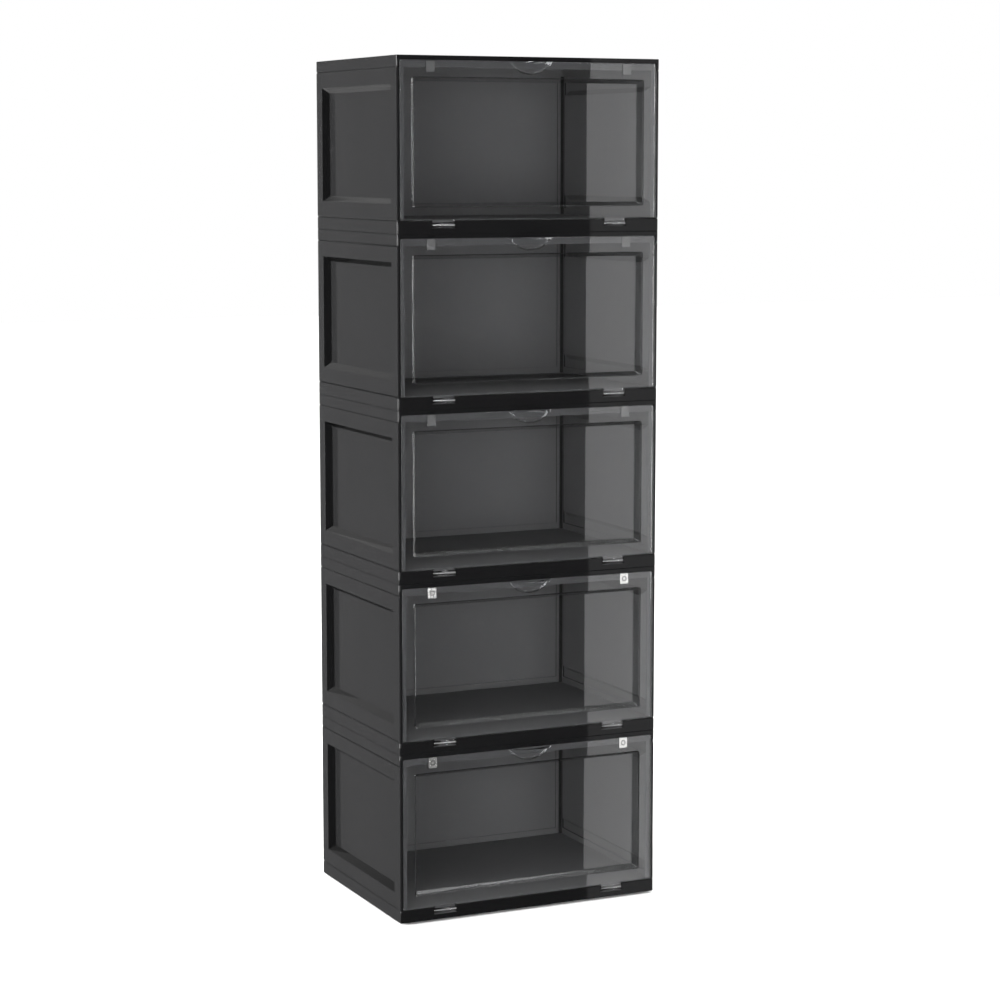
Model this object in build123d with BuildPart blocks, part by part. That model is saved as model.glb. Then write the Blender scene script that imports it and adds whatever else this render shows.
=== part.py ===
from build123d import *
from math import sqrt
import os

# Five identical drop-front shoe boxes, stacked. Each box snaps together from moulded panels:
# a base, a cover, two side panels and a back panel. A clear door with a dished middle hangs on
# two steel pins in the front rail of the base and is held shut by two pairs of magnets.
#
# Millimetres. X runs across the front, Y from front to back, Z up. Every piece is modelled
# once, in the frame of its own box: x and y are 0 at the middle of the case, and z is 0 at the
# lower edge of the base skirt. The last section puts a copy of each piece in each box.

# ---------------------------------------------------------------- driving dimensions
BOXES = 5
WIDTH = 360.0
DEPTH = 268.0
PITCH = 216.0  # height of one box in the stack
WALL = 2.0
GAP = 0.2  # play between a tongue and the wall beside it
CORNER = 1.5  # radius of the upright corners of base and cover
GROOVE = 1.1  # chamfer on each side of the visible joint lines
STACK_GROOVE = 0.6  # the same between two boxes
BASE_SKIRT = 16.5
COVER_SKIRT = 14.5

SIDE = WIDTH / 2
FRONT = -DEPTH / 2
BACK = DEPTH / 2
RIM = 2 * WALL + GAP  # thickness of the edge of a panel
COVER_Z = PITCH - COVER_SKIRT

# Base and cover have a channel along the sides and back that takes the tongues of the panels,
# and a rail across the front. Each pair is an inset from the sides and back, and from the front.
RAIL = 9.0
CHANNEL = WALL + 2 * GAP
SIDE_CHANNEL = (WALL, RAIL)
INNER_WALL = (WALL + CHANNEL, RAIL)
INSIDE = (INNER_WALL[0] + WALL, RAIL)
CHANNEL_FLOOR = 6.0
TONGUE = 8.0
OVER = 1.0  # how far a cut runs on into open space

# Ribs under the floor.
RIB_X = (-120.0, -60.0, 0.0, 60.0, 120.0)
RIB_Y = (-66.0, 0.0, 66.0)
RIB = 1.6
RIB_DEEP = 6.0

# Stacking: four angle-shaped feet drop into the sunken deck of the cover below.
FOOT = 2.8
DECK_SINK = 3.0
FOOT_PLAY = 0.6
FOOT_ARM = 28.0
FOOT_WALL = 3.0

# Panels.
JOINT_PLAY = 0.1
PANEL_LOW = BASE_SKIRT + JOINT_PLAY
PANEL_HIGH = COVER_Z - JOINT_PLAY
PANEL_HEIGHT = PANEL_HIGH - PANEL_LOW
PANEL_MID = (PANEL_LOW + PANEL_HIGH) / 2
RIM_WIDTH = 8.0
BORDER = 20.0  # flat border around a recess
RECESS = 9.0
RECESS_RUN_Y = 4.0  # how far its front and back walls lean in over its depth
RECESS_RUN_Z = 6.6  # the same for its top and bottom walls
STOP_REACH = 4.8  # flange on a side panel that the back panel rests against
SIDE_TONGUE = 240.0
BACK_TONGUE = 320.0
BACK_WIDTH = WIDTH - 2 * RIM - 2 * GAP
BACK_PLATE = 2.8
BACK_FIELD = 0.8  # depth of the plain sunken field on the outside of the back panel

# Door and the ledges behind it.
DOOR_WIDTH = 352.0
DOOR_LOW = 17.4
DOOR_HIGH = 210.0
DOOR_PLATE = 3.0
DOOR_FACE = FRONT + 0.2
DOOR_BACK = DOOR_FACE + DOOR_PLATE
DOOR_PLAY = 0.6
DOOR_RADIUS = 2.5
DOOR_EDGE = 0.5  # chamfer around the outer face
CHEEK = WIDTH / 2 - DOOR_WIDTH / 2 - DOOR_PLAY  # thickness of the lip beside the door
LEDGE_Y = DOOR_BACK + DOOR_PLAY
LEDGE_THICK = 2.0
LEDGE_REACH = 10.0
STRIP_Z = DOOR_HIGH + 0.5  # lower edge of the cover strip above the door

# Dished middle of the door, with sloping walls.
DISH_WIDTH = 317.0
DISH_LOW = 33.0
DISH_HIGH = 189.5
DISH_HEIGHT = DISH_HIGH - DISH_LOW
DISH_MID = (DISH_LOW + DISH_HIGH) / 2
DISH = 9.5
DISH_RUN = 4.5  # how far the walls close in over the depth
DISH_WALL = 2.2
DISH_RADIUS = 2.0
DISH_FLOOR_RADIUS = 1.0

# Hinge.
HINGE_X = 118.2
HINGE_Y = FRONT + 3.4
HINGE_Z = 10.8
BARREL_R = 3.0
TAB_WIDTH = 30.0
TAB_FILLET = 1.5
NOTCH_PLAY = 0.7
NOTCH_LOW = 6.8  # the door stops here, about 102 degrees open
NOTCH_DEEP = 7.0
EAR = 6.0
EAR_WALL = 2.0  # between the end of a pin and the hollow of the rail
PIN_R = 1.25
PIN_LENGTH = TAB_WIDTH + 2 * EAR
EAR_BORE_R = PIN_R + 0.02
BARREL_BORE_R = PIN_R + 0.07
PIN_SLOT = 2.2  # the pin snaps into the rail through a slot from below

# Magnets.
MAGNET_X = 135.0
MAGNET_WIDTH = 11.6
MAGNET_HEIGHT = 13.2
MAGNET_THICK = 1.9
MAGNET_PLAY = 0.05
MAGNET_EDGE = 0.6
MAGNET_MARGIN = 0.7  # between the magnet and the door's upper edge
MAGNET_Y = DOOR_BACK - MAGNET_PLAY - MAGNET_THICK / 2
MAGNET_Z = DOOR_HIGH - MAGNET_MARGIN - MAGNET_HEIGHT / 2
KEEPER_WIDTH = 11.6
KEEPER_HEIGHT = 8.0
KEEPER_Y = LEDGE_Y + 1.2 + MAGNET_THICK / 2  # behind a thin wall of the cover's rail
KEEPER_Z = COVER_Z + 0.2 + KEEPER_HEIGHT / 2
DRAIN_WIDTH = 8.0  # small slot in the cover strip over each magnet
DRAIN_HEIGHT = 1.8
DRAIN_DEEP = 1.2
DRAIN_Z = 213.3

# Finger pull: the lower part of a hollow dome that stands out of the door.
PULL_HALF = 30.5
PULL_DROP = 16.4
PULL_DOME = 14.0
PULL_WALL = 1.6
PULL_CIRCLE = (PULL_HALF**2 + PULL_DROP**2) / (2 * PULL_DROP)
PULL_SPHERE = (PULL_CIRCLE**2 + PULL_DOME**2) / (2 * PULL_DOME)
PULL_Z = DOOR_HIGH - PULL_DROP + PULL_CIRCLE
PULL_Y = DOOR_FACE + PULL_SPHERE - PULL_DOME
PULL_TIP = PULL_Y - sqrt(PULL_SPHERE**2 - (PULL_Z - DOOR_HIGH) ** 2)

# Snap beads on the tongues.
BEAD_R = 0.9
BEAD_LENGTH = 14.0
BEAD_POCKET_R = 1.1
BEAD_POCKET_LENGTH = BEAD_LENGTH + 1.0
BEAD_LOW = CHANNEL_FLOOR + 5.0
BEAD_HIGH = COVER_Z + 5.0
SIDE_BEADS = (-70.0, 70.0)
BACK_BEADS = (-90.0, 90.0)

# The stack's own origin is at the bottom centre of its bounding box, finger pulls included.
SHIFT_Y = (-PULL_TIP - BACK) / 2


# ---------------------------------------------------------------- helpers
def block(x, y, z, mode=Mode.ADD):
    """A box in the open part, from its lowest and highest x, y and z."""
    with Locations(((x[0] + x[1]) / 2, (y[0] + y[1]) / 2, (z[0] + z[1]) / 2)):
        Box(x[1] - x[0], y[1] - y[0], z[1] - z[0], mode=mode)


def inset_rectangle(inset, mode=Mode.ADD):
    """The plan of the case in the open sketch, set in from its sides and back, and its front."""
    side, front = inset
    with Locations((0, (front - side) / 2)):
        Rectangle(WIDTH - 2 * side, DEPTH - side - front, mode=mode)


def snap_pockets(z):
    """Grooves in the channel walls of the open part, which the beads of the panels click into."""
    for y in SIDE_BEADS:
        with Locations((-SIDE + WALL + GAP, y, z), (SIDE - WALL - GAP, y, z)):
            Cylinder(BEAD_POCKET_R, BEAD_POCKET_LENGTH, rotation=(90, 0, 0), mode=Mode.SUBTRACT)
    for x in BACK_BEADS:
        with Locations((x, BACK - WALL - GAP, z)):
            Cylinder(BEAD_POCKET_R, BEAD_POCKET_LENGTH, rotation=(0, 90, 0), mode=Mode.SUBTRACT)


def pocket(x, y, z, size):
    """A pocket for a magnet of the open part, with a little play all round."""
    half = [extent / 2 + MAGNET_PLAY for extent in size]
    span = [(centre - h, centre + h) for centre, h in zip((x, y, z), half)]
    block(*span, Mode.SUBTRACT)


# ---------------------------------------------------------------- base
with BuildPart() as base:
    with BuildSketch():
        RectangleRounded(WIDTH, DEPTH, CORNER)
    extrude(amount=BASE_SKIRT)
    chamfer(base.faces().sort_by(Axis.Z)[-1].edges(), GROOVE)
    chamfer(base.faces().sort_by(Axis.Z)[0].edges(), STACK_GROOVE)

    # hollow underside: first under the channel, then up to the floor plate
    with BuildSketch():
        inset_rectangle(SIDE_CHANNEL)
    extrude(amount=CHANNEL_FLOOR - WALL, mode=Mode.SUBTRACT)
    with BuildSketch():
        inset_rectangle(INSIDE)
    extrude(amount=BASE_SKIRT - WALL, mode=Mode.SUBTRACT)

    # hollows in the front rail, on both sides of the hinges and between them
    notch_half = TAB_WIDTH / 2 + NOTCH_PLAY
    hinge_block = notch_half + EAR + EAR_WALL
    hollow_ends = (
        (-SIDE + 2 * WALL, -HINGE_X - hinge_block),
        (-HINGE_X + hinge_block, HINGE_X - hinge_block),
        (HINGE_X + hinge_block, SIDE - 2 * WALL),
    )
    for ends in hollow_ends:
        block(ends, (FRONT + WALL, FRONT + RAIL - WALL), (0, BASE_SKIRT - WALL), Mode.SUBTRACT)

    # channel for the tongues of the panels
    with BuildSketch(Plane.XY.offset(CHANNEL_FLOOR)):
        inset_rectangle(SIDE_CHANNEL)
        inset_rectangle(INNER_WALL, mode=Mode.SUBTRACT)
    extrude(amount=BASE_SKIRT - CHANNEL_FLOOR, mode=Mode.SUBTRACT)

    # stiffening ribs under the floor
    inner_x = SIDE - INSIDE[0]
    inner_y = (FRONT + INSIDE[1], BACK - INSIDE[0])
    rib_z = (BASE_SKIRT - WALL - RIB_DEEP, BASE_SKIRT - WALL)
    for x in RIB_X:
        block((x - RIB / 2, x + RIB / 2), inner_y, rib_z)
    for y in RIB_Y:
        block((-inner_x, inner_x), (y - RIB / 2, y + RIB / 2), rib_z)

    # feet: an angle in each corner, its post reaching up to the floor plate
    for z, inset in (((-FOOT, 0.0), FOOT_PLAY), ((0.0, BASE_SKIRT - WALL), 0.0)):
        for sx in (-1, 1):
            corner_x = SIDE - INSIDE[0]
            outer = sx * (corner_x - inset)
            inner = sx * (corner_x - FOOT_PLAY - FOOT_WALL)
            reach = sx * (corner_x - FOOT_ARM)
            for sy, edge in ((-1, INSIDE[1]), (1, INSIDE[0])):
                corner_y = BACK - edge
                outer_y = sy * (corner_y - inset)
                inner_y = sy * (corner_y - FOOT_PLAY - FOOT_WALL)
                reach_y = sy * (corner_y - FOOT_ARM)
                block(sorted((inner, outer)), sorted((reach_y, outer_y)), z)
                block(sorted((reach, outer)), sorted((inner_y, outer_y)), z)

    # hinge notches in the front rail, the pin bores beside them and the slots to fit the pins
    for x in (-HINGE_X, HINGE_X):
        block(
            (x - notch_half, x + notch_half),
            (FRONT - OVER, FRONT + NOTCH_DEEP),
            (NOTCH_LOW, BASE_SKIRT + OVER),
            Mode.SUBTRACT,
        )
        with Locations((x, HINGE_Y, HINGE_Z)):
            Cylinder(EAR_BORE_R, 2 * (notch_half + EAR), rotation=(0, 90, 0), mode=Mode.SUBTRACT)
        for ear in (x - notch_half - EAR, x + notch_half):
            block(
                (ear, ear + EAR),
                (HINGE_Y - PIN_SLOT / 2, HINGE_Y + PIN_SLOT / 2),
                (-OVER, HINGE_Z),
                Mode.SUBTRACT,
            )
    snap_pockets(BEAD_LOW)

# ---------------------------------------------------------------- cover
with BuildPart() as cover:
    with BuildSketch(Plane.XY.offset(COVER_Z)):
        RectangleRounded(WIDTH, DEPTH, CORNER)
    extrude(amount=COVER_SKIRT)
    chamfer(cover.faces().sort_by(Axis.Z)[0].edges(), GROOVE)
    chamfer(cover.faces().sort_by(Axis.Z)[-1].edges(), STACK_GROOVE)

    # sunken deck above, hollow below
    with BuildSketch(Plane.XY.offset(PITCH - DECK_SINK)):
        inset_rectangle(INSIDE)
    extrude(amount=DECK_SINK, mode=Mode.SUBTRACT)
    with BuildSketch(Plane.XY.offset(COVER_Z)):
        inset_rectangle(INSIDE)
    extrude(amount=COVER_SKIRT - DECK_SINK - WALL, mode=Mode.SUBTRACT)
    with BuildSketch(Plane.XY.offset(COVER_Z)):
        inset_rectangle(INNER_WALL)
    extrude(amount=WALL, mode=Mode.SUBTRACT)

    # channel for the tongues of the panels
    with BuildSketch(Plane.XY.offset(COVER_Z)):
        inset_rectangle(SIDE_CHANNEL)
        inset_rectangle(INNER_WALL, mode=Mode.SUBTRACT)
    extrude(amount=COVER_SKIRT - WALL, mode=Mode.SUBTRACT)

    # rebate for the upper edge of the door, between the two front corners
    door_half = SIDE - CHEEK
    rebate_y = (FRONT - OVER, LEDGE_Y)
    block((-door_half, door_half), rebate_y, (COVER_Z - OVER, STRIP_Z), Mode.SUBTRACT)
    for x in (-MAGNET_X, MAGNET_X):
        block(
            (x - DRAIN_WIDTH / 2, x + DRAIN_WIDTH / 2),
            (FRONT - OVER, FRONT + DRAIN_DEEP),
            (DRAIN_Z - DRAIN_HEIGHT / 2, DRAIN_Z + DRAIN_HEIGHT / 2),
            Mode.SUBTRACT,
        )
    for x in (-MAGNET_X, MAGNET_X):
        pocket(x, KEEPER_Y, KEEPER_Z, (KEEPER_WIDTH, MAGNET_THICK, KEEPER_HEIGHT))
        keeper_x = (x - KEEPER_WIDTH / 2, x + KEEPER_WIDTH / 2)
        keeper_y = (KEEPER_Y - MAGNET_THICK / 2, KEEPER_Y + MAGNET_THICK / 2)
        block(keeper_x, keeper_y, (COVER_Z - OVER, KEEPER_Z), Mode.SUBTRACT)
    snap_pockets(BEAD_HIGH)

# ---------------------------------------------------------------- left side panel
with BuildPart() as left_panel:
    with BuildSketch(Plane.YZ.offset(-SIDE)):
        with Locations((0, PANEL_MID)):
            Rectangle(DEPTH, PANEL_HEIGHT)
    extrude(amount=WALL)
    with BuildSketch(Plane.YZ.offset(-SIDE)):
        with Locations((0, PANEL_MID)):
            Rectangle(DEPTH, PANEL_HEIGHT)
            Rectangle(DEPTH - 2 * RIM_WIDTH, PANEL_HEIGHT - 2 * RIM_WIDTH, mode=Mode.SUBTRACT)
    extrude(amount=RIM)
    chamfer(left_panel.faces().sort_by(Axis.X)[0].edges(), GROOVE)

    # the recess, and the wall that follows it on the inner side
    for border, depth, mode in (
        (BORDER - WALL, RECESS + WALL, Mode.ADD),
        (BORDER, RECESS, Mode.SUBTRACT),
    ):
        for step in (0, depth):
            lean_y = RECESS_RUN_Y * step / RECESS
            lean_z = RECESS_RUN_Z * step / RECESS
            with BuildSketch(Plane.YZ.offset(-SIDE + step)):
                with Locations((0, PANEL_MID)):
                    Rectangle(DEPTH - 2 * (border + lean_y), PANEL_HEIGHT - 2 * (border + lean_z))
        loft(mode=mode)

    # lip beside the door, ledge behind it, and the stop in front of the back panel
    panel_z = (PANEL_LOW, PANEL_HIGH)
    block((-SIDE + CHEEK, -SIDE + RIM), (FRONT, LEDGE_Y), panel_z, Mode.SUBTRACT)
    ledge_y = (LEDGE_Y, LEDGE_Y + LEDGE_THICK)
    block((-SIDE + WALL, -SIDE + LEDGE_REACH), ledge_y, panel_z)
    stop_y = (BACK - RIM - WALL - GAP, BACK - RIM - GAP)
    block((-SIDE + WALL, -SIDE + RIM + STOP_REACH), stop_y, panel_z)

    # tongues with their snap beads
    tongue_x = (-SIDE + WALL + GAP, -SIDE + RIM)
    for z in ((PANEL_LOW - TONGUE, PANEL_LOW), (PANEL_HIGH, PANEL_HIGH + TONGUE)):
        block(tongue_x, (-SIDE_TONGUE / 2, SIDE_TONGUE / 2), z)
    for y in SIDE_BEADS:
        with Locations((tongue_x[0], y, BEAD_LOW), (tongue_x[0], y, BEAD_HIGH)):
            Cylinder(BEAD_R, BEAD_LENGTH, rotation=(90, 0, 0))

# ---------------------------------------------------------------- right side panel
with BuildPart() as right_panel:
    mirror(left_panel.part, about=Plane.YZ)

# ---------------------------------------------------------------- back panel
with BuildPart() as back_panel:
    outer_face = Plane.XZ.offset(-BACK)
    with BuildSketch(outer_face):
        with Locations((0, PANEL_MID)):
            Rectangle(BACK_WIDTH, PANEL_HEIGHT)
    extrude(amount=BACK_PLATE)
    with BuildSketch(outer_face):
        with Locations((0, PANEL_MID)):
            Rectangle(BACK_WIDTH, PANEL_HEIGHT)
            Rectangle(
                BACK_WIDTH - 2 * RIM_WIDTH, PANEL_HEIGHT - 2 * RIM_WIDTH, mode=Mode.SUBTRACT
            )
    extrude(amount=RIM)
    chamfer(back_panel.faces().sort_by(Axis.Y)[-1].edges(), GROOVE)
    with BuildSketch(outer_face):
        with Locations((0, PANEL_MID)):
            Rectangle(BACK_WIDTH - 2 * BORDER, PANEL_HEIGHT - 2 * BORDER)
    extrude(amount=BACK_FIELD, mode=Mode.SUBTRACT)
    tongue_y = (BACK - RIM, BACK - WALL - GAP)
    for z in ((PANEL_LOW - TONGUE, PANEL_LOW), (PANEL_HIGH, PANEL_HIGH + TONGUE)):
        block((-BACK_TONGUE / 2, BACK_TONGUE / 2), tongue_y, z)
    for x in BACK_BEADS:
        with Locations((x, tongue_y[1], BEAD_LOW), (x, tongue_y[1], BEAD_HIGH)):
            Cylinder(BEAD_R, BEAD_LENGTH, rotation=(0, 90, 0))

# ---------------------------------------------------------------- finger pull
with BuildPart() as pull:
    with Locations((0, PULL_Y, PULL_Z)):
        Sphere(PULL_SPHERE)
        Sphere(PULL_SPHERE - PULL_WALL, mode=Mode.SUBTRACT)
    block(
        (-PULL_CIRCLE, PULL_CIRCLE),
        (PULL_TIP - OVER, DOOR_FACE),
        (DOOR_HIGH - PULL_DROP - OVER, DOOR_HIGH),
        Mode.INTERSECT,
    )

# ---------------------------------------------------------------- door
with BuildPart() as door:
    door_face = Plane(origin=(0, DOOR_FACE, 0), x_dir=(1, 0, 0), z_dir=(0, 1, 0))
    with BuildSketch(door_face) as door_outline:
        with Locations((0, -(DOOR_LOW + DOOR_HIGH) / 2)):
            RectangleRounded(DOOR_WIDTH, DOOR_HIGH - DOOR_LOW, DOOR_RADIUS)
        tab_mid = -(HINGE_Z + DOOR_LOW) / 2
        with Locations((-HINGE_X, tab_mid), (HINGE_X, tab_mid)):
            Rectangle(TAB_WIDTH, DOOR_LOW - HINGE_Z)
        tab_roots = door_outline.vertices().filter_by(
            lambda v: abs(v.Z - DOOR_LOW) < GAP and abs(v.X) < HINGE_X + TAB_WIDTH
        )
        fillet(tab_roots, TAB_FILLET)
    extrude(amount=DOOR_PLATE)

    # dished middle: the wall on the inner side, then the dish itself
    for grow, depth, mode in ((DISH_WALL, DISH + DISH_WALL, Mode.ADD), (0, DISH, Mode.SUBTRACT)):
        for step, radius in ((0, DISH_RADIUS), (depth, DISH_FLOOR_RADIUS)):
            inward = DISH_RUN * step / DISH - grow
            with BuildSketch(door_face.offset(step)):
                with Locations((0, -DISH_MID)):
                    RectangleRounded(
                        DISH_WIDTH - 2 * inward, DISH_HEIGHT - 2 * inward, radius + grow
                    )
        loft(mode=mode)
    chamfer(door.faces().sort_by(Axis.Y)[0].edges(), DOOR_EDGE)
    add(pull.part)

    # barrels at the ends of the hinge tabs
    with Locations((-HINGE_X, HINGE_Y, HINGE_Z), (HINGE_X, HINGE_Y, HINGE_Z)):
        Cylinder(BARREL_R, TAB_WIDTH, rotation=(0, 90, 0))
        Cylinder(BARREL_BORE_R, TAB_WIDTH, rotation=(0, 90, 0), mode=Mode.SUBTRACT)

    # pockets for the magnets, open on the inner face
    for x in (-MAGNET_X, MAGNET_X):
        pocket(x, MAGNET_Y, MAGNET_Z, (MAGNET_WIDTH, MAGNET_THICK, MAGNET_HEIGHT))

# ---------------------------------------------------------------- pins and magnets
with BuildPart() as hinge_pins:
    with Locations((-HINGE_X, HINGE_Y, HINGE_Z), (HINGE_X, HINGE_Y, HINGE_Z)):
        Cylinder(PIN_R, PIN_LENGTH, rotation=(0, 90, 0))

with BuildPart() as door_magnets:
    with Locations((-MAGNET_X, MAGNET_Y, MAGNET_Z), (MAGNET_X, MAGNET_Y, MAGNET_Z)):
        Box(MAGNET_WIDTH, MAGNET_THICK, MAGNET_HEIGHT)
    chamfer(door_magnets.edges().filter_by(Axis.Y), MAGNET_EDGE)

with BuildPart() as keeper_magnets:
    with Locations((-MAGNET_X, KEEPER_Y, KEEPER_Z), (MAGNET_X, KEEPER_Y, KEEPER_Z)):
        Box(KEEPER_WIDTH, MAGNET_THICK, KEEPER_HEIGHT)

# ---------------------------------------------------------------- the stack
PIECES = {
    "base": base,
    "cover": cover,
    "left_panel": left_panel,
    "right_panel": right_panel,
    "back_panel": back_panel,
    "door": door,
    "hinge_pins": hinge_pins,
    "door_magnets": door_magnets,
    "keeper_magnets": keeper_magnets,
}

os.makedirs("parts", exist_ok=True)
for number in range(1, BOXES + 1):
    place = Location((0, SHIFT_Y, FOOT + (number - 1) * PITCH))
    for name, piece in PIECES.items():
        placed = piece.part.moved(place)
        placed.label = f"{name}_{number}"
        export_step(placed, f"parts/{placed.label}.step")
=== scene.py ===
from math import pi

import bpy
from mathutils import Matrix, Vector


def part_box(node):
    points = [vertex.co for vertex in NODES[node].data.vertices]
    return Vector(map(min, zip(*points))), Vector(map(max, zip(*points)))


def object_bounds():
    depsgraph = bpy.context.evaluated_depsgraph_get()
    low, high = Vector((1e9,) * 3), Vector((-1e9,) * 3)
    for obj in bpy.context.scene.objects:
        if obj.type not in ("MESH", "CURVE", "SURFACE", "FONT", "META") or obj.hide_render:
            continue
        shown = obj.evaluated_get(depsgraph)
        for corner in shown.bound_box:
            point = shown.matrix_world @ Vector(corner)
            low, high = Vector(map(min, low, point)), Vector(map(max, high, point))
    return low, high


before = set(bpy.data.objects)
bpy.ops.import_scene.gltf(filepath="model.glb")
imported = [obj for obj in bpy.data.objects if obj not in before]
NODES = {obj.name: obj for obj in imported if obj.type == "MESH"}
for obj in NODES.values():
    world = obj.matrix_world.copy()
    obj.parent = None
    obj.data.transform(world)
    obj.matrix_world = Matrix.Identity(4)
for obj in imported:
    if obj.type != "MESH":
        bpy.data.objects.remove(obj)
cad_low, cad_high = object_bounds()

# Metres. X runs across the doors, Y from the doors to the back, Z up, as in the frame.
# Five boxes stand on each other. Each node is named by its piece and its box's number, 1 lowest.
BOXES = sum(name.startswith("base_") for name in NODES)
MIDDLE_Y = (cad_low.y + cad_high.y) / 2
FRONT_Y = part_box("base_1")[0].y
DOOR_BACK_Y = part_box("door_magnets_1")[1].y
LEDGE_END_Y = DOOR_BACK_Y + 0.005
TOP_PANEL_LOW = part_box(f"left_panel_{BOXES}")[0].z
BRIGHT_MAGNETS = 2  # the lowest boxes have bright magnets, the others dark ones

# ---------------------------------------------------------------- looks that are tuned
CASE_COLOUR = (0.0066, 0.0066, 0.0068, 1)
CASE_PALE = (0.0082, 0.0082, 0.0084, 1)
# Painted shade: faces that look to the front are painted darker than the rest of the case.
FRONT_PAINTED_SHADE = (0.0038, 0.0038, 0.0040, 1)
LINING_COLOUR = (0.057, 0.057, 0.057, 1)
LINING_PALE = (0.064, 0.064, 0.065, 1)
LEDGE_COLOUR = (0.034, 0.034, 0.035, 1)
# Painted shade on the recess's upper sloping wall of the lower boxes, and painted light on the
# top box's.
OVERHANG_PAINTED_SHADE = (0.002, 0.002, 0.002, 1)
OVERHANG_PAINTED_LIGHT = (0.022, 0.022, 0.022, 1)
DOOR_TINT = (0.975, 0.98, 0.985, 1)
DOOR_SHADOW = (0.93, 0.935, 0.94, 1)  # what a door leaves of a lamp's light
STEEL_COLOUR = (0.29, 0.289, 0.287, 1)
NICKEL_COLOUR = (0.82, 0.81, 0.79, 1)
FERRITE_COLOUR = (0.026, 0.026, 0.026, 1)
FLOOR_COLOUR = (0.86, 0.86, 0.86, 1)
BLACK = (0, 0, 0, 1)
WHITE = (1, 1, 1, 1)

CASE_COAT = 0.33
# Painted sheen on the recess's lower sloping wall: a base colour that grows paler the more
# obliquely it is seen.
SILL_OBLIQUE = (0.56, 0.76)  # Layer Weight's Facing where the sill's sheen starts and is full
SILL_PAINTED_SHEEN = (0.0025, 0.026)

EDGE_SOFTNESS = {"case": 0.0002, "door": 0.0001, "metal": 0.00012}  # radius of moulded edges
EDGE_SEGMENTS = 2
EDGE_ANGLE = 0.6  # radians; flatter edges stay as they are
WELD_DISTANCE = 0.000001
MAGNET_WIDTH = 0.0116
RING_RADIUS = 0.0027  # dark ring on the face of each bright magnet
RING_WIDTH = 0.0013

# Half the width of the change from one finish to the next.
FRONT_BLEND = 0.0002
LEDGE_BLEND = 0.0005
FACING_BLEND = 0.05

# How closely a face has to look one way to count as facing it, as a cosine.
LOOSELY = 0.25
MOSTLY = 0.7
SQUARELY = 0.9

# ---------------------------------------------------------------- studio
CAMERA_LENS = 94.5
CAMERA_SENSOR = 36.0
CAMERA_PLACE = (-1.4294, -3.0856, 0.9585)
CAMERA_TURN = (pi / 2 - 0.1294, 0, -0.4387)
FLOOR_HALF = 12.0
SUN_STRENGTH = 4.6
SUN_ANGLE = 1.4
SUN_HEIGHT = 4
LAMP_LEVEL = 0.62  # height of the two lamps in front
WORLD_DIM = 0.12


def scaled(colour, factor):
    """The same colour, paler or darker by a factor."""
    return tuple(factor * c for c in colour[:3]) + (1,)


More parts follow.
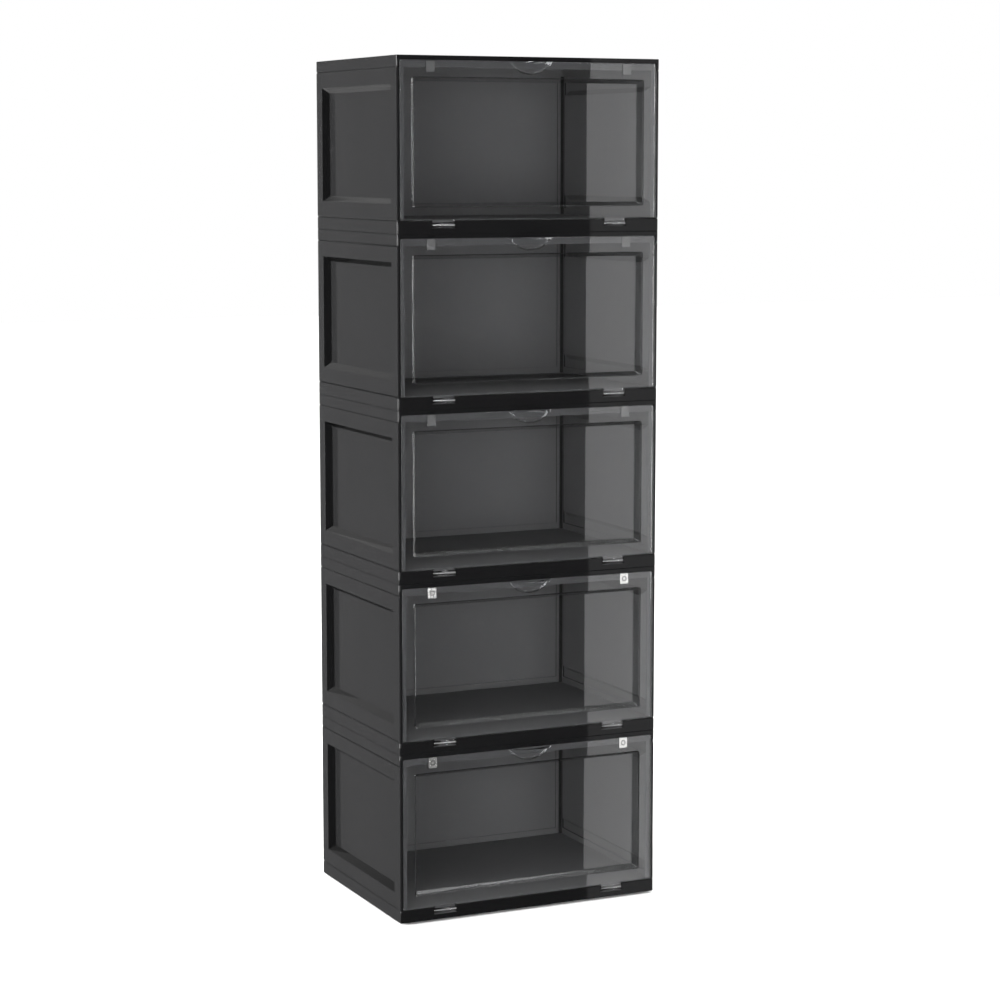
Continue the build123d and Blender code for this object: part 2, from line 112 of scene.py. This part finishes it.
# ---------------------------------------------------------------- helpers for materials
class Nodes:
    """A material's node tree, with short calls for the nodes used here."""

    def __init__(self, name):
        self.material = bpy.data.materials.new(name)
        self.material.use_nodes = True
        self.tree = self.material.node_tree
        self.tree.nodes.clear()
        self.output = self.tree.nodes.new("ShaderNodeOutputMaterial")
        self.coordinates = self.tree.nodes.new("ShaderNodeTexCoord")

    def link(self, source, target):
        self.tree.links.new(source, target)

    def surface(self, source):
        self.link(source, self.output.inputs["Surface"])

    def shader(self, **sockets):
        """A Principled shader with some sockets set, by name with _ for a space."""
        node = self.tree.nodes.new("ShaderNodeBsdfPrincipled")
        for name, value in sockets.items():
            node.inputs[name.replace("_", " ")].default_value = value
        return node

    def noise(self, scale, detail=2.0, roughness=0.5, stretch=(1, 1, 1)):
        """A noise pattern fixed to the piece. scale is in repeats per metre."""
        mapping = self.tree.nodes.new("ShaderNodeMapping")
        mapping.inputs["Scale"].default_value = stretch
        node = self.tree.nodes.new("ShaderNodeTexNoise")
        node.inputs["Scale"].default_value = scale
        node.inputs["Detail"].default_value = detail
        node.inputs["Roughness"].default_value = roughness
        self.link(self.coordinates.outputs["Object"], mapping.inputs["Vector"])
        self.link(mapping.outputs["Vector"], node.inputs["Vector"])
        return node.outputs["Fac"]

    def cells(self, scale):
        """Distance to the nearest point of a random scatter, for pebble grain."""
        node = self.tree.nodes.new("ShaderNodeTexVoronoi")
        node.inputs["Scale"].default_value = scale
        self.link(self.coordinates.outputs["Object"], node.inputs["Vector"])
        return node.outputs["Distance"]

    def span(self, value, low, high, to_low=0.0, to_high=1.0):
        """value mapped from low..high to to_low..to_high, and held there beyond them."""
        node = self.tree.nodes.new("ShaderNodeMapRange")
        numbers = {"From Min": low, "From Max": high, "To Min": to_low, "To Max": to_high}
        for name, number in numbers.items():
            node.inputs[name].default_value = number
        self.link(value, node.inputs["Value"])
        return node.outputs["Result"]

    def mix(self, factor, first, second, data_type, socket_type):
        """A blend of two values, each a plain value or a socket."""
        node = self.tree.nodes.new("ShaderNodeMix")
        node.data_type = data_type
        self.link(factor, node.inputs["Factor"])
        for name, value in (("A", first), ("B", second)):
            socket = next(s for s in node.inputs if s.name == name and s.type == socket_type)
            if isinstance(value, (float, tuple)):
                socket.default_value = value
            else:
                self.link(value, socket)
        return next(s for s in node.outputs if s.type == socket_type)

    def colour(self, factor, first, second):
        """A blend of two colours, each a colour or a socket."""
        return self.mix(factor, first, second, "RGBA", "RGBA")

    def number(self, factor, first, second):
        """A blend of two numbers, each a number or a socket."""
        return self.mix(factor, first, second, "FLOAT", "VALUE")

    def bump(self, height, distance, strength, base=None):
        """Fine relief. base is a relief that it is added to."""
        node = self.tree.nodes.new("ShaderNodeBump")
        node.inputs["Distance"].default_value = distance
        node.inputs["Strength"].default_value = strength
        self.link(height, node.inputs["Height"])
        if base:
            self.link(base, node.inputs["Normal"])
        return node.outputs["Normal"]

    def facing(self, direction, least=LOOSELY):
        """1 where the piece's own surface faces direction, by least as a cosine, else 0."""
        node = self.tree.nodes.new("ShaderNodeVectorMath")
        node.operation = "DOT_PRODUCT"
        node.inputs[1].default_value = direction
        self.link(self.coordinates.outputs["Normal"], node.inputs[0])
        return self.span(node.outputs["Value"], least - FACING_BLEND, least + FACING_BLEND)

    def math(self, operation, first, second=0.0):
        """A sum, product or other function of two sockets, or a socket and a number."""
        node = self.tree.nodes.new("ShaderNodeMath")
        node.operation = operation
        for socket, value in zip(node.inputs, (first, second)):
            if isinstance(value, float):
                socket.default_value = value
            else:
                self.link(value, socket)
        return node.outputs["Value"]

    def part(self, output, axis):
        node = self.tree.nodes.new("ShaderNodeSeparateXYZ")
        self.link(self.coordinates.outputs[output], node.inputs["Vector"])
        return node.outputs[axis]

    def place(self, axis):
        """The piece's own x, y or z at each point."""
        return self.part("Object", axis)

    def normal(self, axis):
        """How far the piece's own surface faces along x, y or z."""
        return self.part("Normal", axis)


# ---------------------------------------------------------------- parts of the case's finish, with its painted light and shade
def ledge(nodes):
    """1 on the narrow faces just behind the door, which it closes against."""
    y = nodes.place("Y")
    halfway = (FRONT_Y + DOOR_BACK_Y) / 2
    behind = nodes.span(y, halfway - FRONT_BLEND, halfway + FRONT_BLEND)
    near = nodes.span(y, LEDGE_END_Y - LEDGE_BLEND, LEDGE_END_Y + LEDGE_BLEND, 1.0, 0.0)
    return nodes.math("MULTIPLY", nodes.facing((0, -1, 0)), nodes.math("MULTIPLY", behind, near))


def inner_walls(nodes):
    """1 on upright faces behind the door's ledge that face the middle of the box."""
    x_part = nodes.math("MULTIPLY", nodes.place("X"), nodes.normal("X"))
    from_middle = nodes.math("SUBTRACT", nodes.place("Y"), MIDDLE_Y)
    y_part = nodes.math("MULTIPLY", from_middle, nodes.normal("Y"))
    outward = nodes.math("ADD", x_part, y_part)
    inward = nodes.span(outward, -0.02, -0.01, to_low=1.0, to_high=0.0)
    behind = nodes.span(nodes.place("Y"), LEDGE_END_Y, LEDGE_END_Y + LEDGE_BLEND)
    return nodes.math("MULTIPLY", inward, behind)


def sill_painted_sheen(nodes):
    """A painted sheen on the recess's lower sloping wall: its colour is paler the more obliquely
    it is seen.
    """
    weight = nodes.tree.nodes.new("ShaderNodeLayerWeight")
    weight.inputs["Blend"].default_value = 0.5
    sheen = nodes.span(weight.outputs["Facing"], *SILL_OBLIQUE, *SILL_PAINTED_SHEEN)
    return nodes.colour(sheen, BLACK, WHITE)


def overhang_painted_light_and_shade(nodes):
    """The recess's upper sloping wall: painted light on the top box, painted shade on the ones
    below it.
    """
    top_box = nodes.span(nodes.place("Z"), TOP_PANEL_LOW, TOP_PANEL_LOW + 0.001)
    return nodes.colour(top_box, OVERHANG_PAINTED_SHADE, OVERHANG_PAINTED_LIGHT)


# ---------------------------------------------------------------- materials
def case_plastic(piece, inward):
    """Black moulded plastic: glossy outside, plain matte inside the box and behind the door. Its
    front faces are painted darker as painted shade, and its recess walls carry painted sheen,
    light and shade.
    """
    nodes = Nodes(f"black_plastic_{piece}")
    flow = nodes.noise(14.0, detail=3.0, stretch=(1, 1, 0.35))
    grain = nodes.noise(2600.0, detail=3.0, roughness=0.6)
    pebbles = nodes.cells(1500.0)
    colour = nodes.colour(flow, CASE_COLOUR, CASE_PALE)
    if piece.endswith("_panel"):
        inside = nodes.facing(inward)
        # Upward-facing faces of a panel take a painted sheen that depends on how obliquely they
        # are seen.
        colour = nodes.colour(nodes.facing((0, 0, 1), MOSTLY), colour, sill_painted_sheen(nodes))
        # Downward-facing faces of a panel take painted light on the top box and painted shade on
        # the others.
        colour = nodes.colour(nodes.facing((0, 0, -1), MOSTLY), colour, overhang_painted_light_and_shade(nodes))
    else:
        inside = nodes.math("MAXIMUM", nodes.facing(inward, SQUARELY), inner_walls(nodes))
    stop = ledge(nodes)
    matte = nodes.math("MAXIMUM", inside, stop)
    # Faces looking to the front get a darker base colour: painted shade.
    colour = nodes.colour(nodes.facing((0, -1, 0), MOSTLY), colour, FRONT_PAINTED_SHADE)
    colour = nodes.colour(inside, colour, nodes.colour(flow, LINING_COLOUR, LINING_PALE))
    shader = nodes.shader(Specular_IOR_Level=0.0, Coat_Roughness=0.02, Coat_IOR=1.5)
    nodes.link(nodes.colour(stop, colour, LEDGE_COLOUR), shader.inputs["Base Color"])
    outside = nodes.span(grain, 0.3, 0.7, to_low=0.34, to_high=0.46)
    lining = nodes.span(pebbles, 0.0, 0.6, to_low=0.55, to_high=0.70)
    nodes.link(nodes.number(matte, outside, lining), shader.inputs["Roughness"])
    nodes.link(nodes.number(matte, CASE_COAT, 0.0), shader.inputs["Coat Weight"])
    fine = nodes.bump(grain, distance=0.00004, strength=0.5)
    relief = nodes.bump(pebbles, distance=0.00006, strength=0.4, base=fine)
    nodes.link(relief, shader.inputs["Normal"])
    nodes.surface(shader.outputs["BSDF"])
    return nodes.material


def clear_plastic():
    """Polished clear plastic. Lamp rays pass straight through it, a little dimmed."""
    nodes = Nodes("clear_plastic")
    shader = nodes.shader(Transmission_Weight=1.0, IOR=1.49)
    haze = nodes.noise(45.0, detail=4.0, roughness=0.6)
    tint = nodes.colour(haze, DOOR_TINT, scaled(DOOR_TINT, 0.99))
    nodes.link(tint, shader.inputs["Base Color"])
    scuffs = nodes.noise(260.0, detail=5.0, roughness=0.7, stretch=(0.15, 1, 1))
    dulled = nodes.span(scuffs, 0.45, 0.85, to_low=0.0, to_high=0.02)
    nodes.link(dulled, shader.inputs["Roughness"])
    clear = nodes.tree.nodes.new("ShaderNodeBsdfTransparent")
    clear.inputs["Color"].default_value = DOOR_SHADOW
    path = nodes.tree.nodes.new("ShaderNodeLightPath")
    mix = nodes.tree.nodes.new("ShaderNodeMixShader")
    nodes.link(path.outputs["Is Shadow Ray"], mix.inputs["Fac"])
    nodes.link(shader.outputs["BSDF"], mix.inputs[1])
    nodes.link(clear.outputs["BSDF"], mix.inputs[2])
    nodes.surface(mix.outputs["Shader"])
    return nodes.material


def metal(name, colour, roughness, lines, mark=None):
    """Plated or drawn metal. lines is how far its fine marks are drawn out along X."""
    nodes = Nodes(name)
    shader = nodes.shader(Metallic=1.0)
    marks = nodes.noise(3200.0, detail=4.0, roughness=0.65, stretch=(1 / lines, 1, 1))
    tarnish = nodes.noise(180.0, detail=3.0)
    shade = nodes.colour(tarnish, colour, scaled(colour, 0.86))
    if mark:
        shade = nodes.colour(ring(nodes, mark), shade, scaled(colour, 0.4))
    nodes.link(shade, shader.inputs["Base Color"])
    spread = nodes.span(marks, 0.3, 0.75, to_low=roughness * 0.7, to_high=roughness * 1.5)
    nodes.link(spread, shader.inputs["Roughness"])
    relief = nodes.bump(marks, distance=0.00001, strength=0.4)
    nodes.link(relief, shader.inputs["Normal"])
    nodes.surface(shader.outputs["BSDF"])
    return nodes.material


def ring(nodes, box):
    """1 on a thin ring in the middle of each of the two magnets of a door, which fill box."""
    low, high = box
    across = nodes.math("ABSOLUTE", nodes.place("X"))
    across = nodes.math("SUBTRACT", across, high.x - MAGNET_WIDTH / 2)
    up = nodes.math("SUBTRACT", nodes.place("Z"), (low.z + high.z) / 2)
    across_squared = nodes.math("MULTIPLY", across, across)
    up_squared = nodes.math("MULTIPLY", up, up)
    radius = nodes.math("SQRT", nodes.math("ADD", across_squared, up_squared))
    away = nodes.math("ABSOLUTE", nodes.math("SUBTRACT", radius, RING_RADIUS))
    return nodes.span(away, RING_WIDTH / 2, RING_WIDTH / 2 + 0.0003, to_low=1.0, to_high=0.0)


def ferrite():
    """Pressed ferrite: dull, dark and slightly speckled."""
    nodes = Nodes("ferrite")
    shader = nodes.shader(Specular_IOR_Level=0.4)
    specks = nodes.noise(5200.0, detail=5.0, roughness=0.7)
    speckled = nodes.span(specks, 0.35, 0.8)
    shade = nodes.colour(speckled, FERRITE_COLOUR, scaled(FERRITE_COLOUR, 1.9))
    nodes.link(shade, shader.inputs["Base Color"])
    rough = nodes.span(specks, 0.3, 0.7, to_low=0.45, to_high=0.7)
    nodes.link(rough, shader.inputs["Roughness"])
    relief = nodes.bump(specks, distance=0.00003, strength=0.5)
    nodes.link(relief, shader.inputs["Normal"])
    nodes.surface(shader.outputs["BSDF"])
    return nodes.material


def pale_floor():
    nodes = Nodes("studio_floor")
    shader = nodes.shader(Roughness=0.9, Specular_IOR_Level=0.1)
    mottle = nodes.noise(3.0, detail=4.0)
    shade = nodes.colour(mottle, FLOOR_COLOUR, scaled(FLOOR_COLOUR, 0.985))
    nodes.link(shade, shader.inputs["Base Color"])
    nodes.surface(shader.outputs["BSDF"])
    return nodes.material


# ---------------------------------------------------------------- finish of the CAD pieces
def soften(node, radius):
    """Rounds the sharp edges of a CAD piece a little, as a mould does."""
    weld = node.modifiers.new("weld", "WELD")
    weld.merge_threshold = WELD_DISTANCE
    bevel = node.modifiers.new("soft_edges", "BEVEL")
    bevel.width = radius
    bevel.segments = EDGE_SEGMENTS
    bevel.limit_method = "ANGLE"
    bevel.angle_limit = EDGE_ANGLE
    bevel.harden_normals = True


def finish(node, material, radius):
    node.data.materials.clear()
    node.data.materials.append(material)
    soften(node, radius)


def finish_boxes():
    case = {
        "base": case_plastic("base", (0, 0, 1)),
        "cover": case_plastic("cover", (0, 0, -1)),
        "left_panel": case_plastic("left_panel", (1, 0, 0)),
        "right_panel": case_plastic("right_panel", (-1, 0, 0)),
        "back_panel": case_plastic("back_panel", (0, -1, 0)),
    }
    door = clear_plastic()
    steel = metal("steel", STEEL_COLOUR, roughness=0.65, lines=12)
    dark = ferrite()
    for number in range(1, BOXES + 1):
        for piece, material in case.items():
            finish(NODES[f"{piece}_{number}"], material, EDGE_SOFTNESS["case"])
        finish(NODES[f"door_{number}"], door, EDGE_SOFTNESS["door"])
        magnets = f"door_magnets_{number}"
        magnet = dark
        if number <= BRIGHT_MAGNETS:
            name = f"nickel_{number}"
            magnet = metal(name, NICKEL_COLOUR, roughness=0.16, lines=1, mark=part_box(magnets))
        finish(NODES[magnets], magnet, EDGE_SOFTNESS["metal"])
        finish(NODES[f"keeper_magnets_{number}"], dark, EDGE_SOFTNESS["metal"])
        finish(NODES[f"hinge_pins_{number}"], steel, EDGE_SOFTNESS["metal"])


# ---------------------------------------------------------------- floor, lamps and camera
def add_camera():
    data = bpy.data.cameras.new("camera")
    data.lens = CAMERA_LENS
    data.sensor_width = CAMERA_SENSOR
    camera = bpy.data.objects.new("camera", data)
    camera.location = CAMERA_PLACE
    camera.rotation_euler = CAMERA_TURN
    bpy.context.scene.collection.objects.link(camera)
    bpy.context.scene.camera = camera


def add_floor():
    half = FLOOR_HALF
    data = bpy.data.meshes.new("studio_floor")
    corners = [(-half, -half, 0), (half, -half, 0), (half, half, 0), (-half, half, 0)]
    data.from_pydata(corners, [], [(0, 1, 2, 3)])
    data.materials.append(pale_floor())
    floor = bpy.data.objects.new("studio_floor", data)
    floor.visible_glossy = False
    floor.visible_transmission = False
    bpy.context.scene.collection.objects.link(floor)


def add_softbox(name, centre, target, size, radiance, mirrored=True, refracted=True):
    """A rectangular softbox at centre that faces target. size is its width and height.

    One that isn't mirrored isn't seen in gloss, and one that isn't refracted isn't seen
    through plastic. Both still give light.
    """
    data = bpy.data.lights.new(name, "AREA")
    data.shape = "RECTANGLE"
    data.size, data.size_y = size
    data.energy = radiance * pi * size[0] * size[1]
    light = bpy.data.objects.new(name, data)
    light.location = centre
    aim = Vector(target) - Vector(centre)
    light.rotation_euler = aim.to_track_quat("-Z", "Y").to_euler()
    light.visible_camera = False
    light.visible_glossy = mirrored
    light.visible_transmission = refracted
    bpy.context.scene.collection.objects.link(light)


def add_sun():
    """Even light from straight above, very soft."""
    data = bpy.data.lights.new("sun", "SUN")
    data.energy = SUN_STRENGTH
    data.angle = SUN_ANGLE
    sun = bpy.data.objects.new("sun", data)
    sun.location = (0, 0, SUN_HEIGHT)
    sun.visible_glossy = False
    bpy.context.scene.collection.objects.link(sun)


def add_lights():
    add_sun()
    add_softbox(
        "front",
        centre=(0.36, -3.2, LAMP_LEVEL),
        target=(0.1, MIDDLE_Y, LAMP_LEVEL),
        size=(1.1, 1.5),
        radiance=12.0,
    )
    add_softbox(
        "front_left",
        centre=(-2.5, -3.0, LAMP_LEVEL),
        target=(0, MIDDLE_Y, LAMP_LEVEL),
        size=(1.1, 1.8),
        radiance=18.0,
        mirrored=False,
    )
    add_softbox(
        "left",
        centre=(-3.5, 1.5, 0.8),
        target=(0, MIDDLE_Y, 0.6),
        size=(2.2, 2.4),
        radiance=44.0,
        refracted=False,
    )
    add_softbox(
        "right",
        centre=(3.2, 0.4, 0.8),
        target=(0, 0.4, 0.8),
        size=(5.0, 2.4),
        radiance=3.5,
        refracted=False,
    )
    # The lamp whose reflection is the light band on the right of every door.
    add_softbox(
        "right_band",
        centre=(2.2853, -2.87, 0.1),
        target=(2.2853, 5, 0.1),
        size=(1.6, 2.8),
        radiance=1.2,
    )
    # A faint lamp behind the tower, seen in the gloss of the left side.
    add_softbox(
        "left_wall",
        centre=(-1.45, 3.5, 0.55),
        target=(-0.5, 0, 0.55),
        size=(2.5, 3.6),
        radiance=0.35,
    )


def add_background(tree, strength):
    node = tree.nodes.new("ShaderNodeBackground")
    node.inputs["Color"].default_value = WHITE
    node.inputs["Strength"].default_value = strength
    return node.outputs["Background"]


def add_world():
    """White for the camera, dim for everything else."""
    world = bpy.data.worlds.new("studio")
    world.use_nodes = True
    tree = world.node_tree
    tree.nodes.clear()
    output = tree.nodes.new("ShaderNodeOutputWorld")
    mix = tree.nodes.new("ShaderNodeMixShader")
    path = tree.nodes.new("ShaderNodeLightPath")
    tree.links.new(path.outputs["Is Camera Ray"], mix.inputs["Fac"])
    tree.links.new(add_background(tree, WORLD_DIM), mix.inputs[1])
    tree.links.new(add_background(tree, 1.0), mix.inputs[2])
    tree.links.new(mix.outputs["Shader"], output.inputs["Surface"])
    bpy.context.scene.world = world


finish_boxes()
add_floor()
add_lights()
add_world()
add_camera()
bpy.context.scene.view_settings.view_transform = "Standard"
